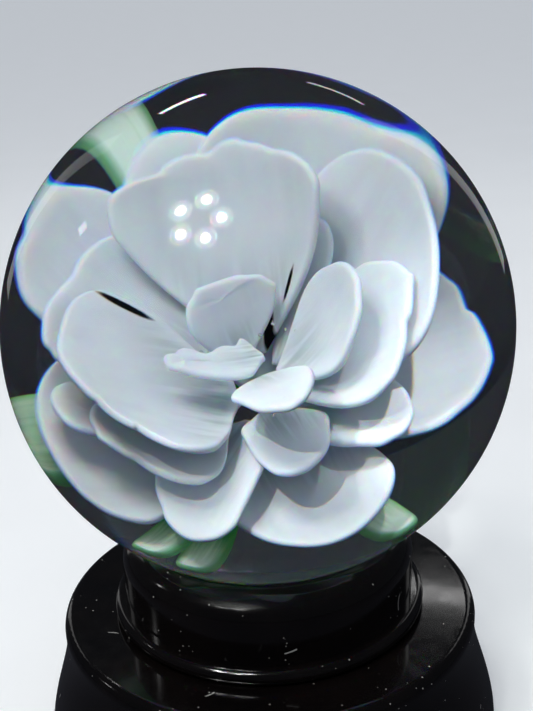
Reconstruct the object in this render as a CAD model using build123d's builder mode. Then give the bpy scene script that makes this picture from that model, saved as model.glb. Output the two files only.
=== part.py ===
from build123d import *
import os
from math import cos, radians, sin, sqrt

# Glass paperweight: a clear ball with an open white flower and green leaves cased inside it,
# resting in a black ring stand. Millimetres, +Z up. The flower leans towards -Y.

os.makedirs("parts", exist_ok=True)

# ---- ball and stand ----
ball_radius = 38.0
base_height = 22.0
base_foot_radius = 37.2
base_top_radius = 33.8
base_edge_round = 1.6
collar_radius = 23.4
collar_lip_height = 34.7
collar_lip_radius = 19.2       # where the lip's round is highest
collar_bore_radius = 15.5
collar_bead_radius = 25.2      # the bead round the collar's foot
collar_bead_height = 2.4
seat_radius = 17.9             # where the ball bears on the collar's seat
seat_gap = 0.3                 # clear of the ball all round, so the ball lifts without dragging
seat_height = 34.78
ball_height = seat_height + sqrt(ball_radius**2 - seat_radius**2)

# ---- flower ----
flower_tilt = 58.0             # the flower's axis above the horizon, leaning towards -Y
flower_depth = 11.4            # from the ball's centre down the axis to where the petals meet
petal_thick = 1.0
leaf_thick = 1.2
claw_share = 0.12              # width of a petal's root as a share of its widest part

flower_axis = Vector(0, -cos(radians(flower_tilt)), sin(radians(flower_tilt)))
flower_right = Vector(1, 0, 0)
flower_up = Vector(0, sin(radians(flower_tilt)), cos(radians(flower_tilt)))
flower_root = Vector(0, 0, ball_height) - flower_axis * flower_depth


def keep(piece, label):
    """Names one finished piece and writes its file."""
    piece.part.label = label
    export_step(piece.part, f"parts/{label}.step")
    return piece


def half_width(along, width, shoulder, tip):
    """Half a petal's width at a share of its length. A narrow claw swells to the shoulder, then
    rounds in to the tip. A low tip number gives a blunt, square end and a high one a pointed end."""
    if along < shoulder:
        swell = sin(radians(90 * along / shoulder)) ** 1.15
        return width / 2 * (claw_share + (1 - claw_share) * swell)
    return width / 2 * (1 - ((along - shoulder) / (1 - shoulder)) ** 2) ** tip


def petal(label, turn, root, rise, lift, length, width, shoulder, tip, dish, cup,
          lean=0.0, twist=0.0, uneven=0.0, thick=petal_thick):
    """One petal or leaf, a dished strip of glass trimmed to its outline.

    turn: degrees round the flower's axis, 0 towards +X. root: its root's distance from the axis.
    rise: its root's height along the axis. lift: degrees from flat to closed. length and width in mm.
    shoulder: share of the length where it is widest. tip: how pointed. dish: radius of the curve along
    it, negative if it arches back. cup: radius of the curve across it. lean: how far its tip bends
    sideways. twist: degrees about its own length. uneven: how much wider its left side is."""
    outward = flower_right * cos(radians(turn)) + flower_up * sin(radians(turn))
    along = outward * cos(radians(lift)) + flower_axis * sin(radians(lift))
    face = flower_axis * cos(radians(lift)) - outward * sin(radians(lift))
    start = flower_root + outward * root + flower_axis * rise
    face = face.rotate(Axis((0, 0, 0), along), twist)
    flat = Plane(origin=start, x_dir=along, z_dir=face)

    # The strip: a shallow valley across the petal, turned along the dish.
    reach = width / 2 * (1 + abs(uneven)) + abs(lean) + 1.0
    wall = reach**2 / (2 * cup)
    dish_middle = -length**2 / (8 * dish)
    half_turn = 57.3 * (length / 2 + 2.0) / dish
    hub = flat.from_local_coords(Vector(length / 2, 0, dish_middle + dish))
    across = flat.y_dir
    rear = flat.x_dir * sin(radians(half_turn)) + flat.z_dir * cos(radians(half_turn))
    valley = Plane(origin=hub, x_dir=across, z_dir=across.cross(rear))
    with BuildPart() as piece:
        with BuildSketch(valley):
            with BuildLine():
                low, high = -dish - thick / 2, -dish + thick / 2
                Bezier((-reach, low + wall), (0, low - wall), (reach, low + wall))
                Line((reach, low + wall), (reach, high + wall))
                Bezier((reach, high + wall), (0, high - wall), (-reach, high + wall))
                Line((-reach, high + wall), (-reach, low + wall))
            make_face()
        revolve(axis=Axis(hub, across * (-1 if dish > 0 else 1)), revolution_arc=2 * abs(half_turn))

        # The outline: root, claw, shoulder and tip, up one side and down the other.
        shares = [0, 0.3 * shoulder, 0.65 * shoulder, shoulder]
        shares += [shoulder + (1 - shoulder) * step for step in (0.45, 0.75, 0.93)]
        left, right = [], []
        for share in shares:
            half = half_width(share, width, shoulder, tip)
            shift = lean * share**2
            left.append((share * length, shift + half * (1 + uneven)))
            right.append((share * length, shift - half * (1 - uneven)))
        with BuildSketch(flat):
            with BuildLine():
                Spline(*left, (length, lean), *reversed(right))
                Line(right[0], left[0])
            make_face()
        extrude(amount=60, both=True, mode=Mode.INTERSECT)
    return keep(piece, label)


# ---- outer petals, clockwise from the top seen from the front ----
petals = [
    petal("outer_petal_1", turn=76, root=3.2, rise=-0.5, lift=21, length=24.5, width=23.5,
          shoulder=0.7, tip=0.45, dish=35, cup=16, lean=1.0, uneven=-0.15),
    petal("outer_petal_2", turn=9, root=3.4, rise=-1.8, lift=9, length=18, width=22,
          shoulder=0.6, tip=0.65, dish=70, cup=19, lean=0.5, twist=-4, uneven=0.2),
    petal("outer_petal_3", turn=288, root=2.3, rise=-1.5, lift=8, length=22, width=17.5,
          shoulder=0.55, tip=0.65, dish=150, cup=19, lean=-0.5, twist=2, uneven=0.05),
    petal("outer_petal_4", turn=247, root=2.5, rise=-0.3, lift=8, length=22.5, width=11,
          shoulder=0.45, tip=0.4, dish=-50, cup=13, lean=3.0, twist=9, uneven=-0.15),
    petal("outer_petal_5", turn=186, root=4.4, rise=-1.7, lift=6, length=16.5, width=25.5,
          shoulder=0.6, tip=0.35, dish=115, cup=55, lean=2.5, twist=-1, uneven=0.15),
    petal("outer_petal_6", turn=137, root=4.3, rise=-0.6, lift=21, length=22, width=15.5,
          shoulder=0.8, tip=0.5, dish=40, cup=80, lean=-1.0, twist=5, uneven=0.15),
    petal("outer_petal_7", turn=105, root=3.9, rise=-1.8, lift=15, length=24, width=15,
          shoulder=0.6, tip=0.5, dish=45, cup=80, lean=-0.5, twist=-2, uneven=-0.05),
]

# ---- middle petals, clockwise from the top ----
petals += [
    petal("middle_petal_1", turn=94, root=4.4, rise=2.1, lift=33, length=19.5, width=20.5,
          shoulder=0.75, tip=0.7, dish=45, cup=10, lean=-0.5, twist=-24, uneven=0.1),
    petal("middle_petal_2", turn=68, root=4.0, rise=1.1, lift=37, length=14.5, width=5.5,
          shoulder=0.6, tip=0.45, dish=45, cup=40, lean=-0.5, twist=-17),
    petal("middle_petal_3", turn=35, root=5.0, rise=1.2, lift=43, length=21.5, width=24.5,
          shoulder=0.55, tip=0.65, dish=50, cup=80, lean=2.0, twist=-13, uneven=0.05),
    petal("middle_petal_4", turn=10, root=1.8, rise=1.8, lift=39, length=18, width=16.5,
          shoulder=0.65, tip=0.7, dish=115, cup=80, lean=1.5, twist=-1, uneven=-0.25),
    petal("middle_petal_5", turn=336, root=2.7, rise=0.2, lift=19, length=15, width=10,
          shoulder=0.55, tip=0.45, dish=150, cup=21, lean=-2.0, twist=-1, uneven=0.1),
    petal("middle_petal_6", turn=287, root=1.8, rise=1.3, lift=22, length=17, width=8.5,
          shoulder=0.4, tip=0.5, dish=100, cup=20, lean=-2.0, twist=-2, uneven=0.1),
    petal("middle_petal_7", turn=211, root=4.2, rise=1.6, lift=19, length=16, width=16.5,
          shoulder=0.7, tip=0.7, dish=150, cup=80, twist=5, uneven=0.35),
    petal("middle_petal_8", turn=187, root=2.4, rise=2.0, lift=26, length=20, width=28.5,
          shoulder=0.55, tip=0.7, dish=150, cup=40, lean=0.5, twist=10, uneven=0.2),
    petal("middle_petal_9", turn=189, root=3.1, rise=-0.4, lift=15, length=18, width=9.5,
          shoulder=0.7, tip=0.3, dish=150, cup=40, lean=1.0, twist=12, uneven=-0.1),
    petal("middle_petal_10", turn=148, root=3.5, rise=0.6, lift=19, length=18, width=17.5,
          shoulder=0.8, tip=0.3, dish=40, cup=70, lean=1.5, twist=4, uneven=-0.1),
]

# ---- inner petals, clockwise from the top ----
petals += [
    petal("inner_petal_1", turn=121, root=3.1, rise=2.4, lift=57, length=9, width=9.5,
          shoulder=0.7, tip=0.3, dish=110, cup=24, twist=-5, uneven=-0.15),
    petal("inner_petal_2", turn=12, root=1.9, rise=3.6, lift=55, length=15, width=12,
          shoulder=0.6, tip=0.6, dish=35, cup=30, uneven=-0.05),
    petal("inner_petal_3", turn=282, root=0.8, rise=4.3, lift=40, length=20.5, width=8.5,
          shoulder=0.55, tip=0.55, dish=-60, cup=22, twist=11, uneven=-0.05),
    petal("inner_petal_4", turn=203, root=-0.5, rise=6.4, lift=23, length=11.5, width=5,
          shoulder=0.4, tip=0.45, dish=50, cup=30, lean=-0.5),
]

# ---- leaves behind the flower, anticlockwise from the top left ----
leaves = [
    petal("leaf_1", turn=109, root=4.0, rise=-3.4, lift=14, length=30, width=5,
          shoulder=0.8, tip=0.3, dish=50, cup=35, thick=leaf_thick),
    petal("leaf_2", turn=177, root=4.0, rise=-3.4, lift=1, length=24, width=11,
          shoulder=0.55, tip=0.45, dish=50, cup=35, thick=leaf_thick),
    petal("leaf_3", turn=236, root=4.0, rise=-3.2, lift=4, length=22, width=4.5,
          shoulder=0.7, tip=0.35, dish=50, cup=35, thick=leaf_thick),
    petal("leaf_4", turn=248, root=4.0, rise=-4.7, lift=3, length=20, width=4.5,
          shoulder=0.7, tip=0.35, dish=50, cup=35, thick=leaf_thick),
    petal("leaf_5", turn=312, root=4.0, rise=-3.2, lift=0, length=18.5, width=5.5,
          shoulder=0.7, tip=0.4, dish=50, cup=35, thick=leaf_thick),
]

# ---- clear ball, cast round every petal and leaf ----
with BuildPart(Plane.XY.offset(ball_height)) as clear_glass_ball:
    Sphere(ball_radius)
with BuildPart() as cased_ball:
    add(clear_glass_ball.part)
    for piece in petals + leaves:
        add(piece.part, mode=Mode.SUBTRACT)
keep(cased_ball, "clear_glass_ball")

# ---- stand base: a low drum that flares towards its foot ----
with BuildPart() as stand_base:
    with BuildSketch(Plane.XZ):
        with BuildLine():
            Line((0, base_height), (base_top_radius, base_height))
            Spline((base_top_radius, base_height), (base_top_radius + 0.6, base_height * 0.6),
                   (base_foot_radius, 2.0), (base_foot_radius, 0))
            Polyline((base_foot_radius, 0), (0, 0), (0, base_height))
        make_face()
    revolve(axis=Axis.Z)
    fillet(stand_base.faces().sort_by(Axis.Z)[-1].edges(), base_edge_round)
keep(stand_base, "stand_base")

# ---- stand collar: a thick ring with a bead round its foot and a hollow seat for the ball ----
seat_sphere = ball_radius + seat_gap
with BuildPart() as stand_collar:
    with BuildSketch(Plane.XZ):
        with BuildLine():
            bore_top = ball_height - sqrt(seat_sphere**2 - collar_bore_radius**2)
            lip_inner = collar_lip_radius - 0.9
            seat_top = ball_height - sqrt(seat_sphere**2 - lip_inner**2)
            seat_mid_radius = (collar_bore_radius + lip_inner) / 2
            seat_mid = ball_height - sqrt(seat_sphere**2 - seat_mid_radius**2)
            Line((collar_bore_radius, base_height), (collar_bore_radius, bore_top))
            ThreePointArc((collar_bore_radius, bore_top), (seat_mid_radius, seat_mid), (lip_inner, seat_top))
            Spline((lip_inner, seat_top), (collar_lip_radius, collar_lip_height),
                   (collar_radius - 1.1, collar_lip_height - 1.3), (collar_radius, collar_lip_height - 3.8))
            bead_round = collar_bead_height / 2
            bead_middle = collar_bead_radius - bead_round
            Polyline((collar_radius, collar_lip_height - 3.8), (collar_radius, base_height + collar_bead_height),
                     (bead_middle, base_height + collar_bead_height))
            ThreePointArc((bead_middle, base_height + collar_bead_height),
                          (collar_bead_radius, base_height + bead_round), (bead_middle, base_height))
            Line((bead_middle, base_height), (collar_bore_radius, base_height))
        make_face()
    revolve(axis=Axis.Z)
keep(stand_collar, "stand_collar")
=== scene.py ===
import random
from math import cos, exp, pi, radians, sin, sqrt, tan

import bmesh
import bpy
from mathutils import Matrix, Vector


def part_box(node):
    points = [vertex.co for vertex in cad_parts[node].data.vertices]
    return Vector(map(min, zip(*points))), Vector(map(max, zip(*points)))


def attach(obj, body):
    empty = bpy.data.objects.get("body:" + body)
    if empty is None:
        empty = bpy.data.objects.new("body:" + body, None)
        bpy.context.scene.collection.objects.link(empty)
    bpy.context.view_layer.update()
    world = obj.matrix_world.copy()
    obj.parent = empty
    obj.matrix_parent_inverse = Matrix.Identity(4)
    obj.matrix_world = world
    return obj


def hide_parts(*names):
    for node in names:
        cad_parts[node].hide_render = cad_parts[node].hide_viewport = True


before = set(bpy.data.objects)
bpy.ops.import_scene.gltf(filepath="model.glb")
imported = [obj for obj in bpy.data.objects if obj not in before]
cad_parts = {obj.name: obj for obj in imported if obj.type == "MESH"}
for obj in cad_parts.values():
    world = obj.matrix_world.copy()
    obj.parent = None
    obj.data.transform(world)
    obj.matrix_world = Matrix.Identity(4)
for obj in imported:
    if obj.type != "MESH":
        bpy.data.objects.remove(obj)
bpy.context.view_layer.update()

# The looks of a glass paperweight: a clear ball with a white flower cased in it, in a black ring stand.
# Lengths of the petals are in millimetres, as in the CAD source; MM turns them into metres.

MM = 0.001
ball_low, ball_high = (Vector(corner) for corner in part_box("clear_glass_ball"))
ball_middle = (ball_low + ball_high) / 2
ball_middle.x = ball_middle.y = 0.0
ball_radius = (ball_high.z - ball_low.z) / 2

FLOWER_TILT = 58.0
FLOWER_DEPTH = 11.4
CLAW_SHARE = 0.12
flower_axis = Vector((0, -cos(radians(FLOWER_TILT)), sin(radians(FLOWER_TILT))))
flower_right = Vector((1, 0, 0))
flower_up = Vector((0, sin(radians(FLOWER_TILT)), cos(radians(FLOWER_TILT))))
flower_root = ball_middle - flower_axis * FLOWER_DEPTH * MM


# ---------------------------------------------------------------- materials

class Nodes:
    """A material's node tree, with short calls to add and join nodes."""

    def __init__(self, name):
        self.material = bpy.data.materials.new(name)
        self.material.use_nodes = True
        self.tree = self.material.node_tree
        self.tree.nodes.clear()
        self.out = self.tree.nodes.new("ShaderNodeOutputMaterial")

    def add(self, kind, **inputs):
        """Adds a node. A socket name takes a value or another node's output."""
        node = self.tree.nodes.new("ShaderNode" + kind)
        for key, value in inputs.items():
            if hasattr(node, key) and key not in node.inputs:
                setattr(node, key, value)
            else:
                self.set(node, key.replace("_", " "), value)
        return node

    def set(self, node, socket, value):
        if isinstance(value, bpy.types.NodeSocket):
            self.tree.links.new(value, node.inputs[socket])
        else:
            node.inputs[socket].default_value = value

    def noise(self, where, scale, detail=4.0, rough=0.5):
        return self.add("TexNoise", Vector=where, Scale=scale, Detail=detail, Roughness=rough).outputs["Fac"]

    def span(self, value, low, high, to_low=0.0, to_high=1.0):
        node = self.add("MapRange", Value=value)
        limits = (("From Min", low), ("From Max", high), ("To Min", to_low), ("To Max", to_high))
        for socket, number in limits:
            node.inputs[socket].default_value = number
        return node.outputs["Result"]

    def ramp(self, value, *stops):
        node = self.add("ValToRGB", Fac=value)
        band = node.color_ramp
        while len(band.elements) < len(stops):
            band.elements.new(0.5)
        for element, (place, colour) in zip(band.elements, stops):
            element.position = place
            element.color = (*colour, 1)
        return node.outputs["Color"]

    def mix(self, share, one, two, blend="MIX"):
        node = self.add("Mix")
        node.data_type = "RGBA"
        node.blend_type = blend
        for index, value in ((0, share), (6, one), (7, two)):
            if isinstance(value, bpy.types.NodeSocket):
                self.tree.links.new(value, node.inputs[index])
            elif index:
                node.inputs[index].default_value = (*value, 1)
            else:
                node.inputs[index].default_value = value
        return node.outputs[2]

    def maths(self, operation, one, two=0.0):
        node = self.add("Math")
        node.operation = operation
        for index, value in ((0, one), (1, two)):
            if isinstance(value, bpy.types.NodeSocket):
                self.tree.links.new(value, node.inputs[index])
            else:
                node.inputs[index].default_value = value
        return node.outputs[0]

    def bump(self, height, strength, distance):
        node = self.add("Bump", Height=height, Strength=strength)
        node.inputs["Distance"].default_value = distance
        return node.outputs["Normal"]

    def surface(self, shader):
        self.tree.links.new(shader, self.out.inputs["Surface"])
        return self.material


def clear_glass():
    """Clear, slightly worn glass that lets the lamps through to the flower."""
    n = Nodes("clear_glass")
    where = n.add("NewGeometry").outputs["Position"]
    smear = n.noise(where, 60, 3)
    scratch = n.noise(where, 900, 6, 0.7)
    height = n.maths("ADD", n.maths("MULTIPLY", smear, 0.6), n.maths("MULTIPLY", scratch, 0.12))
    normal = n.bump(height, 0.02, 0.0004)
    glass = None
    for colour, index in (((0.985, 0, 0), 1.4955), ((0, 0.995, 0), 1.5), ((0, 0, 0.99), 1.5065)):
        part = n.add("BsdfGlass", Roughness=0.0, IOR=index, Normal=normal)
        part.inputs["Color"].default_value = (*colour, 1)
        if glass:
            both = n.add("AddShader")
            n.tree.links.new(glass.outputs[0], both.inputs[0])
            n.tree.links.new(part.outputs[0], both.inputs[1])
            part = both
        glass = part
    clear = n.add("BsdfTransparent")
    clear.inputs["Color"].default_value = (0.93, 0.95, 0.94, 1)
    path = n.add("LightPath")
    lets_by = n.maths("MAXIMUM", path.outputs["Is Shadow Ray"], path.outputs["Is Diffuse Ray"])
    both = n.add("MixShader")
    n.tree.links.new(lets_by, both.inputs[0])
    n.tree.links.new(glass.outputs[0], both.inputs[1])
    n.tree.links.new(clear.outputs[0], both.inputs[2])
    return n.surface(both.outputs[0])


def white_glass(painted_shade_slits=()):
    """Opal white glass, cool in tint, with drawn streaks, a rolled rim painted paler as a painted highlight,
    and a root greyed by painted shade.

    Each slit is a tear painted near-black as painted shade (along, across, length, width, slant), in shares
    of the petal.
    It is drawn in the glass's colour and isn't cut through it."""
    n = Nodes("white_glass")
    facts = n.add("Attribute", attribute_name="petal")
    parts = n.add("SeparateColor", Color=facts.outputs["Color"])
    along, rim, across = parts.outputs[0], parts.outputs[1], parts.outputs[2]
    drawn = n.add("CombineXYZ", X=n.maths("MULTIPLY", along, 1.2), Y=n.maths("MULTIPLY", across, 16.0))
    streak = n.noise(drawn.outputs[0], 1.0, 5, 0.6)
    cloud = n.noise(n.add("NewGeometry").outputs["Position"], 260, 3)
    body = n.ramp(n.span(streak, 0.3, 0.7), (0.0, (0.64, 0.69, 0.76)), (1.0, (0.72, 0.77, 0.83)))
    body = n.mix(n.span(cloud, 0.35, 0.75, 0.0, 0.35), body, (0.80, 0.85, 0.90))
    # Painted shade: each petal is painted greyer towards its root, in the flower's heart.
    painted_root_shade = n.maths("MULTIPLY", n.span(along, 0.04, 0.6, 1.0, 0.0), n.span(streak, 0.4, 0.58, 0.2, 1.0))
    body = n.mix(painted_root_shade, body, (0.27, 0.33, 0.36))
    # Painted highlight: the rolled rim is painted paler, standing in for light catching the petal's edge.
    colour = n.mix(n.span(rim, 0.0, 1.0, 0.6, 0.0), body, (0.84, 0.89, 0.95))
    seeds = n.add("TexVoronoi", Vector=n.add("NewGeometry").outputs["Position"], Scale=330.0)
    close = n.span(seeds.outputs["Distance"], 0.03, 0.07, 0.55, 0.0)
    seed = n.maths("MULTIPLY", close, n.span(cloud, 0.5, 0.62))
    colour = n.mix(seed, colour, (0.40, 0.45, 0.50))
    # Painted shade: each slit is painted near-black, standing in for the shade seen through a tear.
    for place, middle, length, width, slant in painted_shade_slits:
        east = n.maths("SUBTRACT", along, place)
        north = n.maths("SUBTRACT", n.maths("SUBTRACT", across, middle), n.maths("MULTIPLY", east, slant))
        far = n.maths("ADD", n.maths("POWER", n.maths("ABSOLUTE", n.maths("DIVIDE", east, length)), 2.0),
                      n.maths("POWER", n.maths("ABSOLUTE", n.maths("DIVIDE", north, width)), 2.0))
        ragged = n.maths("ADD", far, n.span(streak, 0.3, 0.7, -0.35, 0.35))
        colour = n.mix(n.span(ragged, 0.55, 1.25, 1.0, 0.0), colour, (0.004, 0.005, 0.006))
    opal = n.add("BsdfPrincipled", Roughness=0.55, Normal=n.bump(streak, 0.06, 0.0003))
    n.set(opal, "Base Color", colour)
    opal.inputs["Specular IOR Level"].default_value = 0.0
    opal.inputs["Subsurface Weight"].default_value = 0.15
    opal.inputs["Subsurface Radius"].default_value = (0.8, 0.9, 1.0)
    opal.inputs["Subsurface Scale"].default_value = 0.0008
    return n.surface(opal.outputs[0])


def green_glass():
    """Leaf glass: deep emerald at the root, pale jade at the tip, with streaks drawn along it and a faint
    glow in its own colour that is painted light.
    """
    n = Nodes("green_glass")
    facts = n.add("Attribute", attribute_name="petal")
    parts = n.add("SeparateColor", Color=facts.outputs["Color"])
    along, rim, across = parts.outputs[0], parts.outputs[1], parts.outputs[2]
    drawn = n.add("CombineXYZ", X=along, Y=n.maths("MULTIPLY", across, 10.0))
    streak = n.noise(drawn.outputs[0], 1.0, 5, 0.6)
    place = n.maths("ADD", along, n.span(streak, 0.3, 0.7, -0.08, 0.08))
    colour = n.ramp(place, (0.0, (0.008, 0.09, 0.03)), (0.48, (0.02, 0.24, 0.08)), (0.66, (0.42, 0.62, 0.48)),
                    (0.8, (0.68, 0.82, 0.76)))
    colour = n.mix(n.span(rim, 0.08, 0.34, 0.8, 0.0), colour, (0.04, 0.27, 0.06))
    leaf = n.add("BsdfPrincipled", Roughness=0.5, Normal=n.bump(streak, 0.2, 0.0003))
    n.set(leaf, "Base Color", colour)
    # Painted light: the leaf glows faintly in its own colour, standing in for light reaching it through the
    # petals.
    n.set(leaf, "Emission Color", colour)
    leaf.inputs["Emission Strength"].default_value = 0.14
    leaf.inputs["Specular IOR Level"].default_value = 0.0
    leaf.inputs["Subsurface Weight"].default_value = 0.4
    leaf.inputs["Subsurface Radius"].default_value = (0.5, 1.0, 0.5)
    leaf.inputs["Subsurface Scale"].default_value = 0.0015
    return n.surface(leaf.outputs[0])


def black_lacquer():
    """Gloss black lacquer over wood, with faint polishing swirls, brown depth and specks of dust."""
    n = Nodes("black_lacquer")
    where = n.add("NewGeometry").outputs["Position"]
    grain = n.noise(where, 90, 6, 0.6)
    worn = n.noise(where, 420, 5, 0.65)
    dust = n.add("TexVoronoi", Vector=where, Scale=900.0)
    size = n.span(n.noise(where, 1300, 2), 0.3, 0.7, 0.02, 0.12)
    speck = n.maths("LESS_THAN", dust.outputs["Distance"], size)
    patch = n.maths("GREATER_THAN", n.noise(where, 110, 3, 0.7), 0.53)
    line = n.maths("ABSOLUTE", n.maths("SUBTRACT", n.noise(where, 75, 1, 0.4), 0.5))
    short = n.maths("GREATER_THAN", n.noise(where, 210, 2), 0.66)
    hair = n.maths("MULTIPLY", n.maths("LESS_THAN", line, 0.0028), short)
    dusty = n.maths("MAXIMUM", n.maths("MULTIPLY", speck, patch), hair)
    black = n.ramp(grain, (0.3, (0.0012, 0.0010, 0.0012)), (0.75, (0.0045, 0.0030, 0.0026)))
    colour = n.mix(dusty, black, (0.42, 0.40, 0.37))
    rough = n.maths("ADD", n.span(worn, 0.3, 0.8, 0.08, 0.2), n.maths("MULTIPLY", dusty, 0.5))
    height = n.maths("ADD", n.maths("MULTIPLY", grain, 0.5), n.maths("MULTIPLY", worn, 0.05))
    coat = n.add("BsdfPrincipled", Roughness=rough, Normal=n.bump(height, 0.06, 0.0006))
    n.set(coat, "Base Color", colour)
    coat.inputs["Coat Weight"].default_value = 0.6
    coat.inputs["Coat Roughness"].default_value = 0.05
    return n.surface(coat.outputs[0])


def pale_floor():
    """Plain pale paper where the camera sees it directly, and dark where glass or lacquer shows it."""
    n = Nodes("pale_floor")
    where = n.add("NewGeometry").outputs["Position"]
    colour = n.ramp(n.noise(where, 30, 4), (0.3, (0.80, 0.80, 0.79)), (0.7, (0.84, 0.84, 0.83)))
    paper = n.add("BsdfPrincipled", Roughness=0.8, Normal=n.bump(n.noise(where, 700, 3), 0.05, 0.0005))
    n.set(paper, "Base Color", colour)
    paper.inputs["Emission Color"].default_value = (0.9, 0.91, 0.92, 1)
    paper.inputs["Emission Strength"].default_value = 0.28
    shade = n.add("BsdfDiffuse", Color=(0.03, 0.03, 0.035, 1))
    direct = n.add("MixShader")
    n.tree.links.new(n.add("LightPath").outputs["Is Camera Ray"], direct.inputs[0])
    n.tree.links.new(shade.outputs[0], direct.inputs[1])
    n.tree.links.new(paper.outputs[0], direct.inputs[2])
    return n.surface(direct.outputs[0])


# ---------------------------------------------------------------- petals and leaves

RIM_WAVE = 0.25    # how far a petal's rim waves, in mm
RIM_BEAD = 0.12    # how much thicker the rim is than the middle
RIM_STEPS = 60     # points up each side of a petal
INNER_RINGS = 6    # rings of faces between the rim and the middle line
NARROW = 3.2       # mm from rim to middle line, below which the rim's rings crowd together


def in_scene(name, data):
    """A new object of this data, linked to the scene."""
    item = bpy.data.objects.new(name, data)
    bpy.context.scene.collection.objects.link(item)
    return item


def as_mesh(work, name):
    """A mesh of what was built in work, which is freed."""
    mesh = bpy.data.meshes.new(name)
    work.to_mesh(mesh)
    work.free()
    return mesh


def half_width(share, width, shoulder, tip):
    """Half a petal's width at a share of its length, as in the CAD source."""
    if share < shoulder:
        return width / 2 * (CLAW_SHARE + (1 - CLAW_SHARE) * sin(pi / 2 * share / shoulder) ** 1.15)
    return width / 2 * max(0.0, 1 - ((share - shoulder) / (1 - shoulder)) ** 2) ** tip


def petal(name, turn, root, rise, lift, length, width, shoulder, tip, dish, cup, lean=0.0, twist=0.0,
          uneven=0.0, thick=0.8, lobes=(), finish=None):
    """A blown petal or leaf: the CAD petal's sheet with a rounded, slightly thicker and wavy rim.

    The numbers up to uneven are the CAD source's own. Each lobe is (place, size, spread): place runs round
    the rim from 0 at the root, up the left side, past the tip at 0.5 and back to 1. size is mm outwards."""
    outward = flower_right * cos(radians(turn)) + flower_up * sin(radians(turn))
    along = outward * cos(radians(lift)) + flower_axis * sin(radians(lift))
    face = flower_axis * cos(radians(lift)) - outward * sin(radians(lift))
    face = Matrix.Rotation(radians(twist), 3, along) @ face
    side = face.cross(along)
    start = flower_root + (outward * root + flower_axis * rise) * MM

    dice = random.Random(name)
    waves = [(k, dice.uniform(0, 2 * pi), 1 / k**0.7) for k in (2, 3, 5, 7)]

    def wave(turned):
        return sum(size * sin(k * turned + late) for k, late, size in waves) / 2

    # The rim, root to tip up the left side and back down the right.
    shares = [sin(pi / 2 * k / RIM_STEPS) for k in range(RIM_STEPS)]
    rim = [(s, 1) for s in shares] + [(1.0, 0)] + [(s, -1) for s in reversed(shares)]
    rounding = 0.5 * thick
    depths = [0.0, 0.06, 0.22, 0.5, 1.0]
    rings = [d * rounding for d in depths] + [rounding + 0.4, rounding + 0.9]
    points, facts = {1: [], -1: []}, []
    for index, (share, hand) in enumerate(rim):
        half = half_width(share, width, shoulder, tip) * (1 + hand * uneven)
        wavy = 1 + 0.02 * wave(2 * pi * index / len(rim)) * min(1, share * 2)
        edge = Vector((share * length, lean * share**2 + hand * half * wavy))
        core = Vector((min(max(share, 0.04), 0.82) * length, lean * min(share, 0.82) ** 2))
        place = index / (len(rim) - 1)
        push = sum(size * exp(-(((place - middle) / spread) ** 2)) for middle, size, spread in lobes)
        edge += (edge - core).normalized() * push
        reach = (edge - core).length
        offsets = list(rings)
        if reach < NARROW:
            offsets = [min(r, reach * 0.9 * (i + 1) / len(rings)) for i, r in enumerate(rings)]
        offsets += [offsets[-1] + (reach - offsets[-1]) * (k + 1) / INNER_RINGS for k in range(INNER_RINGS)]
        for front in (1, -1):
            column = []
            for d in offsets:
                at = edge + (core - edge) * (d / max(reach, 1e-6))
                x, y = at
                near = max(0.0, 1 - d / 6.0) ** 2 * min(1, share * 1.6)
                rise_here = -x * (length - x) / (2 * dish) + y * y / (2 * cup)
                rise_here += RIM_WAVE * near * wave(2 * pi * index / len(rim) + 1.3)
                slope = Vector(((length - 2 * x) / (2 * dish), -y / cup, 1)).normalized()
                full = sqrt(max(0.0, 1 - max(0.0, 1 - d / rounding) ** 2))
                swell = 1 + RIM_BEAD * exp(-(((d - 0.9) / 0.8) ** 2))
                offset = slope * (front * thick / 2 * full * swell)
                p = Vector((x, y, rise_here)) + offset
                column.append(start + (along * p.x + side * p.y + face * p.z) * MM)
                if front == 1:
                    facts.append((x / length, min(1.0, d / 3.0), 0.5 + 0.5 * y / (width * 0.7)))
            points[front].append(column)

    verts, faces, colours = [], [], []
    columns, rows = len(rim), len(rings) + INNER_RINGS
    for front in (1, -1):
        base = len(verts)
        for c, column in enumerate(points[front]):
            verts += column
            colours += facts[c * rows:(c + 1) * rows]
        for c in range(columns):
            nxt = (c + 1) % columns
            for r in range(rows - 1):
                here, there = base + c * rows + r, base + nxt * rows + r
                quad = [here, there, there + 1, here + 1]
                faces.append(quad if front == 1 else quad[::-1])

    mesh = bpy.data.meshes.new(name + "_look")
    mesh.from_pydata([tuple(v) for v in verts], [], faces)
    layer = mesh.color_attributes.new("petal", "FLOAT_COLOR", "POINT")
    for item, colour in zip(layer.data, colours):
        item.color = (*colour, 1)
    work = bmesh.new()
    work.from_mesh(mesh)
    bmesh.ops.remove_doubles(work, verts=work.verts, dist=0.03 * MM)
    bmesh.ops.dissolve_degenerate(work, edges=work.edges, dist=0.01 * MM)
    bmesh.ops.recalc_face_normals(work, faces=work.faces)
    work.to_mesh(mesh)
    work.free()
    mesh.shade_smooth()
    piece = in_scene(name + "_look", mesh)
    mesh.materials.append(finish)
    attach(piece, "globe")
    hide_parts(name)


opal = white_glass()
# These two petals carry tears painted near-black as painted shade; the glass is not cut through.
torn_top = white_glass(((0.32, 0.345, 0.09, 0.009, -0.31), (0.12, 0.44, 0.15, 0.022, -0.05)))
torn_left = white_glass(((0.49, 0.267, 0.13, 0.012, -0.21),))
jade = green_glass()

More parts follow.
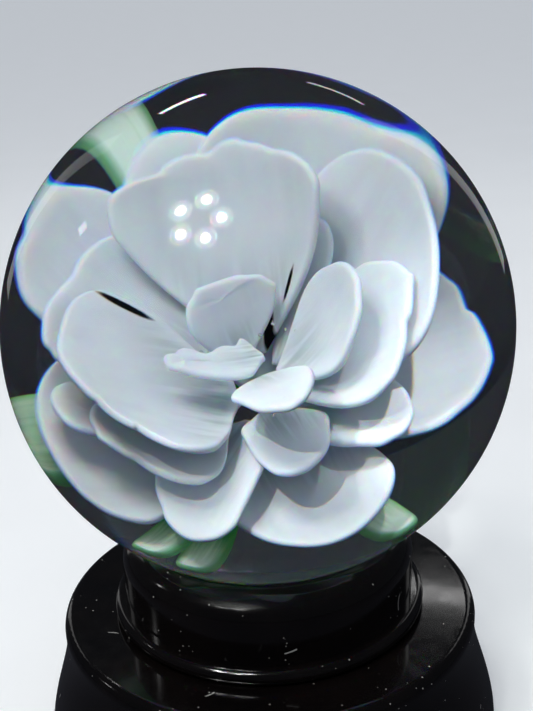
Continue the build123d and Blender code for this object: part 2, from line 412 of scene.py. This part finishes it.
petal("outer_petal_1", turn=76, root=3.2, rise=-0.5, lift=21, length=24.5, width=23.5,
      shoulder=0.7, tip=0.45, dish=35, cup=16, lean=1.0, uneven=-0.15,
      lobes=((0.58, -0.7, 0.05), (0.46, -0.3, 0.05)), finish=opal)
petal("outer_petal_2", turn=9, root=3.4, rise=-1.8, lift=9, length=18, width=22,
      shoulder=0.6, tip=0.65, dish=70, cup=19, lean=0.5, twist=-4, uneven=0.2,
      lobes=((0.375, -0.6, 0.012), (0.35, 0.3, 0.015), (0.69, -0.4, 0.03)), finish=opal)
petal("outer_petal_3", turn=288, root=2.3, rise=-1.5, lift=8, length=22, width=17.5,
      shoulder=0.55, tip=0.65, dish=150, cup=19, lean=-0.5, twist=2, uneven=0.05,
      lobes=((0.58, 0.3, 0.05), (0.16, -0.3, 0.03)), finish=opal)
petal("outer_petal_4", turn=247, root=2.5, rise=-0.3, lift=8, length=22.5, width=11,
      shoulder=0.45, tip=0.4, dish=-50, cup=13, lean=3.0, twist=9, uneven=-0.15,
      lobes=((0.34, 0.5, 0.05), (0.72, -0.3, 0.03)), finish=opal)
petal("outer_petal_5", turn=186, root=4.4, rise=-1.7, lift=6, length=16.5, width=25.5,
      shoulder=0.6, tip=0.35, dish=115, cup=55, lean=2.5, twist=-1, uneven=0.15,
      lobes=((0.41, 0.35, 0.02), (0.3, 0.2, 0.08)), finish=opal)
petal("outer_petal_6", turn=137, root=4.3, rise=-0.6, lift=21, length=22, width=15.5,
      shoulder=0.8, tip=0.5, dish=40, cup=80, lean=-1.0, twist=5, uneven=0.15,
      lobes=((0.44, -0.35, 0.02), (0.545, 0.2, 0.03)), finish=opal)
petal("outer_petal_7", turn=105, root=3.9, rise=-1.8, lift=15, length=24, width=15,
      shoulder=0.6, tip=0.5, dish=45, cup=80, lean=-0.5, twist=-2, uneven=-0.05, finish=opal)

petal("middle_petal_1", turn=94, root=4.4, rise=2.1, lift=33, length=19.5, width=20.5,
      shoulder=0.75, tip=0.7, dish=45, cup=10, lean=-0.5, twist=-24, uneven=0.1,
      lobes=((0.22, 0.3, 0.03), (0.3, 0.1, 0.02), (0.358, -0.8, 0.016),
             (0.405, 0.25, 0.02), (0.43, -0.4, 0.013), (0.475, 0.45, 0.03), (0.585, -0.3, 0.02),
             (0.68, 0.4, 0.08)), finish=torn_top)
petal("middle_petal_2", turn=68, root=4.0, rise=1.1, lift=37, length=14.5, width=5.5,
      shoulder=0.6, tip=0.45, dish=45, cup=40, lean=-0.5, twist=-17, finish=opal)
petal("middle_petal_3", turn=35, root=5.0, rise=1.2, lift=43, length=21.5, width=24.5,
      shoulder=0.55, tip=0.65, dish=50, cup=80, lean=2.0, twist=-13, uneven=0.05, finish=opal)
petal("middle_petal_4", turn=10, root=1.8, rise=1.8, lift=39, length=18, width=16.5,
      shoulder=0.65, tip=0.7, dish=115, cup=80, lean=1.5, twist=-1, uneven=-0.25,
      lobes=((0.31, -0.35, 0.04), (0.49, 0.3, 0.03), (0.63, -0.9, 0.022), (0.72, 0.4, 0.03)), finish=opal)
petal("middle_petal_5", turn=336, root=2.7, rise=0.2, lift=19, length=15, width=10,
      shoulder=0.55, tip=0.45, dish=150, cup=21, lean=-2.0, twist=-1, uneven=0.1,
      lobes=((0.65, 0.45, 0.05), (0.35, -0.3, 0.05)), finish=opal)
petal("middle_petal_6", turn=287, root=1.8, rise=1.3, lift=22, length=17, width=8.5,
      shoulder=0.4, tip=0.5, dish=100, cup=20, lean=-2.0, twist=-2, uneven=0.1,
      lobes=((0.45, -0.6, 0.16), (0.08, 0.8, 0.04), (0.93, 0.7, 0.03)), finish=opal)
petal("middle_petal_7", turn=211, root=4.2, rise=1.6, lift=19, length=16, width=16.5,
      shoulder=0.7, tip=0.7, dish=150, cup=80, twist=5, uneven=0.35,
      lobes=((0.39, -1.0, 0.02), (0.5, 0.4, 0.05), (0.31, 0.3, 0.03), (0.2, -0.25, 0.04)), finish=opal)
petal("middle_petal_8", turn=187, root=2.4, rise=2.0, lift=26, length=20, width=28.5,
      shoulder=0.55, tip=0.7, dish=150, cup=40, lean=0.5, twist=10, uneven=0.2,
      lobes=((0.375, -0.9, 0.012), (0.335, 0.5, 0.02), (0.287, -1.3, 0.012), (0.235, 0.5, 0.025),
             (0.14, -0.5, 0.04), (0.05, 0.6, 0.02), (0.45, 0.3, 0.03), (0.66, -0.5, 0.05),
             (0.84, -0.4, 0.03)), finish=torn_left)
petal("middle_petal_9", turn=189, root=3.1, rise=-0.4, lift=15, length=18, width=9.5,
      shoulder=0.7, tip=0.3, dish=150, cup=40, lean=1.0, twist=12, uneven=-0.1, finish=opal)
petal("middle_petal_10", turn=148, root=3.5, rise=0.6, lift=19, length=18, width=17.5,
      shoulder=0.8, tip=0.3, dish=40, cup=70, lean=1.5, twist=4, uneven=-0.1,
      lobes=((0.515, -0.4, 0.012), (0.47, 0.35, 0.025), (0.34, -0.35, 0.02)), finish=opal)

petal("inner_petal_1", turn=121, root=3.1, rise=2.4, lift=57, length=9, width=9.5,
      shoulder=0.7, tip=0.3, dish=110, cup=24, lean=0.0, twist=-5, uneven=-0.15,
      lobes=((0.47, 0.5, 0.03), (0.6, -0.3, 0.03), (0.74, 0.3, 0.03)), finish=opal)
petal("inner_petal_2", turn=12, root=1.9, rise=3.6, lift=55, length=15, width=12,
      shoulder=0.6, tip=0.6, dish=35, cup=30, uneven=-0.05,
      lobes=((0.28, -0.35, 0.05), (0.62, 0.25, 0.04)), finish=opal)
petal("inner_petal_3", turn=282, root=0.8, rise=4.3, lift=40, length=20.5, width=8.5,
      shoulder=0.55, tip=0.55, dish=-60, cup=22, twist=11, uneven=-0.05,
      lobes=((0.82, 0.35, 0.04),), finish=opal)
petal("inner_petal_4", turn=203, root=-0.5, rise=6.4, lift=23, length=11.5, width=5,
      shoulder=0.4, tip=0.45, dish=50, cup=30, lean=-0.5,
      lobes=((0.06, 0.4, 0.03), (0.66, -0.5, 0.05), (0.82, -1.2, 0.06), (0.965, 1.7, 0.022)), finish=opal)

petal("leaf_1", turn=109, root=4.0, rise=-3.4, lift=14, length=30, width=5,
      shoulder=0.8, tip=0.3, dish=50, cup=35, thick=1.2, finish=jade)
petal("leaf_2", turn=177, root=4.0, rise=-3.4, lift=1, length=24, width=11,
      shoulder=0.55, tip=0.45, dish=50, cup=35, thick=1.2, finish=jade)
petal("leaf_3", turn=236, root=4.0, rise=-3.2, lift=4, length=22, width=4.5,
      shoulder=0.7, tip=0.35, dish=50, cup=35, thick=1.2, finish=jade)
petal("leaf_4", turn=248, root=4.0, rise=-4.7, lift=3, length=20, width=4.5,
      shoulder=0.7, tip=0.35, dish=50, cup=35, thick=1.2, finish=jade)
petal("leaf_5", turn=312, root=4.0, rise=-3.2, lift=0, length=18.5, width=5.5,
      shoulder=0.7, tip=0.4, dish=50, cup=35, thick=1.2, finish=jade)


# ---------------------------------------------------------------- ball and stand

def glass_ball():
    """The clear casing, a hair out of round as hand-polished glass is."""
    work = bmesh.new()
    bmesh.ops.create_uvsphere(work, u_segments=192, v_segments=96, radius=1.0)
    for v in work.verts:
        d = v.co.normalized()
        waver = 0.0006 * sin(3 * d.x + 2 * d.z) + 0.0004 * sin(5 * d.y - 3 * d.x + 1.0)
        v.co = ball_middle + d * ball_radius * (0.999 + waver)
    mesh = as_mesh(work, "glass_ball")
    mesh.shade_smooth()
    mesh.materials.append(clear_glass())
    piece = in_scene("glass_ball", mesh)
    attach(piece, "globe")
    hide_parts("clear_glass_ball")


def seed_bubbles():
    """Specks of air round the flower's heart, some of them drawn out into short threads."""
    dice = random.Random("seeds")
    work = bmesh.new()
    clusters = ((-5.0, 0.5, 6.2, 1.6, 9), (-0.5, -6.0, 6.5, 1.8, 11), (2.0, 3.5, 7.0, 2.0, 6))
    for right, up, height, spread, count in clusters:
        for _ in range(count):
            radius = dice.uniform(0.06, 0.2)
            place = (flower_root + (flower_right * (right + dice.uniform(-1, 1) * spread)
                                    + flower_up * (up + dice.uniform(-1, 1) * spread)
                                    + flower_axis * (height + dice.uniform(-0.8, 0.8))) * MM)
            stretch = dice.choice((1, 1, 1.4, 3.5))
            shape = Matrix.Translation(place) @ Matrix.Diagonal((1, 1, stretch, 1))
            bmesh.ops.create_uvsphere(work, u_segments=16, v_segments=10, radius=radius * MM, matrix=shape)
    mesh = as_mesh(work, "seed_bubbles")
    mesh.shade_smooth()
    n = Nodes("seed_air")
    haze = n.noise(n.add("NewGeometry").outputs["Position"], 2500, 2)
    air = n.add("BsdfGlass", IOR=0.667, Roughness=n.span(haze, 0.4, 0.7, 0.0, 0.08))
    mesh.materials.append(n.surface(air.outputs[0]))
    piece = in_scene("seed_bubbles", mesh)
    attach(piece, "globe")


glass_ball()
seed_bubbles()
lacquer = black_lacquer()
for name in ("stand_base", "stand_collar"):
    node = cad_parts[name]
    node.data.materials.clear()
    node.data.materials.append(lacquer)

# ---------------------------------------------------------------- floor, light and camera

work = bmesh.new()
bmesh.ops.create_grid(work, x_segments=8, y_segments=8, size=40.0)
floor = in_scene("floor", as_mesh(work, "floor"))
floor.data.materials.append(pale_floor())


def lamp(name, size, power, place, colour=(1, 1, 1), round_lamp=False, tall=None):
    """An area lamp facing the ball."""
    data = bpy.data.lights.new(name, "AREA")
    data.shape = "DISK" if round_lamp else "RECTANGLE"
    data.size, data.energy, data.color = size, power, colour
    if not round_lamp:
        data.size_y = tall or size
    item = in_scene(name, data)
    item.location = place
    item.rotation_euler = (ball_middle - Vector(place)).to_track_quat("-Z", "Y").to_euler()
    return item


def way(turn, rise):
    """The direction from the ball to a lamp: turn in degrees from -Y towards +X, rise above the horizon."""
    flat = cos(radians(rise))
    return Vector((sin(radians(turn)) * flat, -cos(radians(turn)) * flat, sin(radians(rise))))


def shade_rim(name, place):
    """The lit edge of a lamp's shade, a thin glowing ring facing the ball."""
    turn_to = (ball_middle - place).to_track_quat("-Z", "Y").to_matrix()
    turns = [2 * pi * k / SHADE_STEPS for k in range(SHADE_STEPS)]
    verts = [place + turn_to @ Vector((cos(t), sin(t), 0)) * size for size in SHADE_RADII for t in turns]
    faces = [(k, (k + 1) % SHADE_STEPS, SHADE_STEPS + (k + 1) % SHADE_STEPS, SHADE_STEPS + k)
             for k in range(SHADE_STEPS)]
    mesh = bpy.data.meshes.new(name)
    mesh.from_pydata([tuple(v) for v in verts], [], faces)
    n = Nodes("shade_glow")
    glow = n.add("Emission", Color=(1.0, 1.0, 0.98, 1), Strength=16.0)
    mesh.materials.append(n.surface(glow.outputs[0]))
    in_scene(name, mesh)


# The key light is a ceiling lamp of five small discs in dim shades, up and to the front left.
LAMP_AWAY, LAMP_RING, LAMP_TURN = 0.45, 0.066, 7
DISC_SIZE, SHADE_SIZE = 0.030, 0.056
SHADE_RADII, SHADE_STEPS = (0.0305, 0.0335), 48
lamp_way = way(-41, 58.5)
lamp_side = lamp_way.cross(Vector((0, 0, 1))).normalized()
lamp_over = lamp_side.cross(lamp_way)
for k in range(5):
    turned = radians(72 * k + LAMP_TURN)
    sideways = (lamp_side * cos(turned) + lamp_over * sin(turned)) * LAMP_RING
    place = ball_middle + lamp_way * LAMP_AWAY + sideways
    lamp(f"disc_{k}", DISC_SIZE, 0.16, place, round_lamp=True, colour=(1.0, 0.99, 0.97))
    lamp(f"shade_{k}", SHADE_SIZE, 0.03, place + lamp_way * 0.01, round_lamp=True)
    shade_rim(f"shade_rim_{k}", place)
soft = lamp("soft_top", 0.6, 0.5, (0.1, -0.2, 0.9), colour=(0.93, 0.96, 1.0))
soft.visible_glossy = soft.visible_transmission = False

# Light gathered by the ball's own curve: each beam runs the way the lamp's light has turned in the glass.
# The beams stay where they are when the ball lifts, as the lamp does.
for name, aim, turn, rise, spread, power in (
        ("beam_right", (0.0190, 0.003, -0.0090), 28, 55, 4.0, 6.5),
        ("beam_low", (0.0035, -0.008, -0.0150), -22, 38, 4.6, 3.4),
        ("beam_heart", (0.0060, -0.004, -0.0030), -31, 60, 3.0, 1.3)):
    data = bpy.data.lights.new(name, "SPOT")
    data.energy, data.spot_size, data.spot_blend, data.shadow_soft_size = power, radians(spread), 0.8, 0.005
    beam = in_scene(name, data)
    target = ball_middle + Vector(aim)
    beam.location = target + way(turn, rise) * LAMP_AWAY
    beam.rotation_euler = (target - beam.location).to_track_quat("-Z", "Y").to_euler()
    beam.visible_glossy = beam.visible_transmission = False

# Small windows and strips that only show as glints on the glass and the lacquer.
for name, turn, rise, wide, tall, power in (
        ("window_back_left", -160, 42, 0.10, 0.018, 0.05), ("window_left", -101, 30, 0.03, 0.03, 0.015),
        ("strip_back", 162, 28, 0.10, 0.01, 0.01), ("strip_right", 142, 12, 0.07, 0.5, 0.06),
        ("strip_left", -140, 8, 0.07, 0.5, 0.05)):
    glint = lamp(name, wide, power, ball_middle + way(turn, rise) * 0.5, tall=tall)
    glint.visible_transmission = False

# The room is dark to the camera and in reflections, and paler where it lights the matt surfaces.
world = bpy.data.worlds.new("room")
bpy.context.scene.world = world
world.use_nodes = True
tree = world.node_tree
seen = tree.nodes["Background"]
lit = tree.nodes.new("ShaderNodeBackground")
by_kind = tree.nodes.new("ShaderNodeMixShader")
seen.inputs[0].default_value = (0.022, 0.025, 0.03, 1)
lit.inputs[0].default_value = (0.35, 0.39, 0.45, 1)
tree.links.new(tree.nodes.new("ShaderNodeLightPath").outputs["Is Diffuse Ray"], by_kind.inputs[0])
tree.links.new(seen.outputs[0], by_kind.inputs[1])
tree.links.new(lit.outputs[0], by_kind.inputs[2])
tree.links.new(by_kind.outputs[0], tree.nodes["World Output"].inputs[0])

# The camera looks down 18.7 degrees from 4.28 radii away, rolled a little, with the ball above the middle.
CAMERA_DROP, CAMERA_ROLL, CAMERA_REACH = 18.7, -2.36, 4.28
BALL_LEFT, BALL_UP = 0.434, 1.468
camera = in_scene("camera", bpy.data.cameras.new("camera"))
camera.data.lens = 54.53
camera.data.sensor_width = 36
camera.data.clip_start = 0.01
back = Vector((0, -cos(radians(CAMERA_DROP)), sin(radians(CAMERA_DROP))))
look = (-back).to_track_quat("-Z", "Y").to_matrix()
aside = Vector((-tan(radians(BALL_LEFT)), tan(radians(BALL_UP)), -1)).normalized()
nudge = Vector((0, 0, -1)).rotation_difference(aside).to_matrix()
turned = look @ Matrix.Rotation(radians(CAMERA_ROLL), 3, "Z") @ nudge.transposed()
camera.matrix_world = Matrix.Translation(ball_middle + back * CAMERA_REACH * ball_radius) @ turned.to_4x4()
bpy.context.scene.camera = camera
bpy.context.scene.view_settings.view_transform = "Standard"
